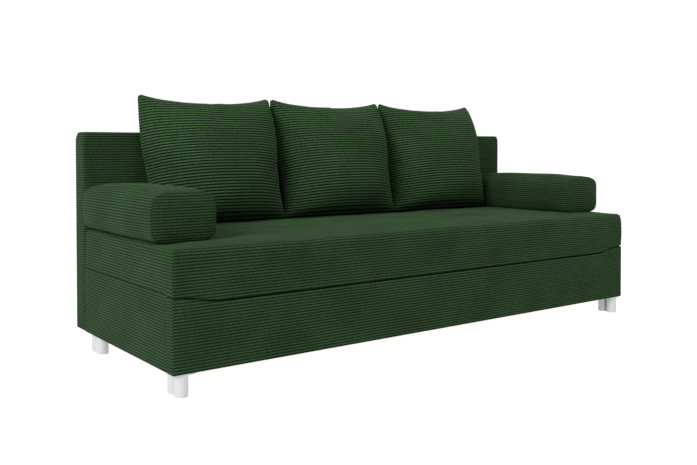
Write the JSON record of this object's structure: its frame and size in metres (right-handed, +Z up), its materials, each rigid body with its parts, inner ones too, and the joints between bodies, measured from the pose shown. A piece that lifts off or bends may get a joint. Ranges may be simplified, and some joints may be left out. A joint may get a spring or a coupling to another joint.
{
  "type": "sofa bed",
  "caption": "Corduroy upholstered sofa bed: thin full-height back slab, thick seat pad with a curved grip lip over a bedding box, loose back cushions, loose arm bolsters, silver tube feet",
  "frame": {"origin": "middle of the footprint on the floor", "axes": "+X along the length to the viewer's right when facing the front, -Y to the front, +Z up"},
  "size_m": [1.95, 0.785, 0.8569],
  "materials": {
    "corduroy": "ribbed corduroy pile",
    "foam": "cut foam",
    "timber": "planed softwood",
    "chipboard": "raw chipboard",
    "hardboard": "smooth one side",
    "steel": "zinc plated",
    "black_steel": "black powder coat",
    "silver": "silver lacquer",
    "glide": "moulded",
    "lining": "non-woven sheet"
  },
  "bodies": {
    "base": {"arm_pivot_pins": "steel", "box_corner_blocks": "timber", "box_floor": "hardboard", "box_rear_board": "chipboard", "box_side_left": "chipboard", "box_side_right": "chipboard", "foot_bolts": "steel", "foot_front_left": "silver", "foot_front_right": "silver", "foot_glides": "glide", "foot_rear_left": "silver", "foot_rear_right": "silver", "front_panel_board": "chipboard", "front_panel_cover": "corduroy", "mechanism_screws": "steel", "pivot_plate_left": "black_steel", "pivot_plate_right": "black_steel", "side_cover_left": "corduroy", "side_cover_right": "corduroy", "slide_track_left": "black_steel", "slide_track_right": "black_steel"},
    "carriage": {"carriage_rail_left": "black_steel", "carriage_rail_right": "black_steel", "carriage_rollers": "steel", "carriage_cross_tube": "black_steel", "link_pivot_pins": "steel"},
    "lift_links": {"lift_link_left": "black_steel", "lift_link_right": "black_steel"},
    "seat": {"seat_brackets": "black_steel", "seat_cover": "corduroy", "seat_cross_bars": "timber", "seat_dust_cover": "lining", "seat_foam": "foam", "seat_lip_board": "timber", "seat_pivot_pins": "steel", "seat_rail_front": "timber", "seat_rail_left": "timber", "seat_rail_rear": "timber", "seat_rail_right": "timber", "seat_springs": "steel"},
    "back_arms": {"back_arm_left": "black_steel", "back_arm_right": "black_steel"},
    "backrest": {"back_cover": "corduroy", "back_foam": "foam", "back_hinge_pins": "steel", "back_posts": "timber", "back_rail_bottom": "timber", "back_rail_top": "timber", "back_stile_left": "timber", "back_stile_right": "timber"},
    "back_cushion_left": {"cushion_filling_left": "foam", "cushion_cover_left": "corduroy"},
    "back_cushion_middle": {"cushion_filling_middle": "foam", "cushion_cover_middle": "corduroy"},
    "back_cushion_right": {"cushion_filling_right": "foam", "cushion_cover_right": "corduroy"},
    "arm_bolster_left": {"bolster_filling_left": "foam", "bolster_cover_left": "corduroy"},
    "arm_bolster_right": {"bolster_filling_right": "foam", "bolster_cover_right": "corduroy"}
  },
  "joints": [
    {"name": "fold_back_arms", "type": "hinge", "parent": "base", "child": "back_arms", "pos_m": [0, 0.2075, 0.222], "axis": [1, 0, 0], "range_deg": [0, 167.7]},
    {"name": "fold_backrest", "type": "hinge", "parent": "back_arms", "child": "backrest", "pos_m": [0, 0.3475, 0.101], "axis": [1, 0, 0], "range_deg": [-257.75, 0]},
    {"name": "slide_seat_carriage", "type": "slide", "parent": "base", "child": "carriage", "axis": [0, -1, 0], "range_m": [0, 0.2562]},
    {"name": "raise_seat_links", "type": "hinge", "parent": "carriage", "child": "lift_links", "pos_m": [0, 0.1225, 0.145], "axis": [1, 0, 0], "range_deg": [0, 70]},
    {"name": "tilt_seat", "type": "hinge", "parent": "lift_links", "child": "seat", "pos_m": [0, 0.2675, 0.3], "axis": [1, 0, 0], "range_deg": [-92.05, 0]},
    {"name": "lift_off_back_cushion_left", "type": "slide", "parent": "seat", "child": "back_cushion_left", "axis": [0, 0, 1], "range_m": [0, 0.35]},
    {"name": "lift_off_back_cushion_middle", "type": "slide", "parent": "seat", "child": "back_cushion_middle", "axis": [0, 0, 1], "range_m": [0, 0.35]},
    {"name": "lift_off_back_cushion_right", "type": "slide", "parent": "seat", "child": "back_cushion_right", "axis": [0, 0, 1], "range_m": [0, 0.35]},
    {"name": "lift_off_arm_bolster_left", "type": "slide", "parent": "seat", "child": "arm_bolster_left", "axis": [0, 0, 1], "range_m": [0, 0.25]},
    {"name": "lift_off_arm_bolster_right", "type": "slide", "parent": "seat", "child": "arm_bolster_right", "axis": [0, 0, 1], "range_m": [0, 0.25]}
  ],
  "couplings": [
    {"joint": "slide_seat_carriage", "follows": "fold_back_arms", "m_per_rad": 0.087464},
    {"joint": "fold_backrest", "follows": "fold_back_arms", "ratio": -1.5367},
    {"joint": "tilt_seat", "follows": "raise_seat_links", "ratio": -1.3143}
  ]
}
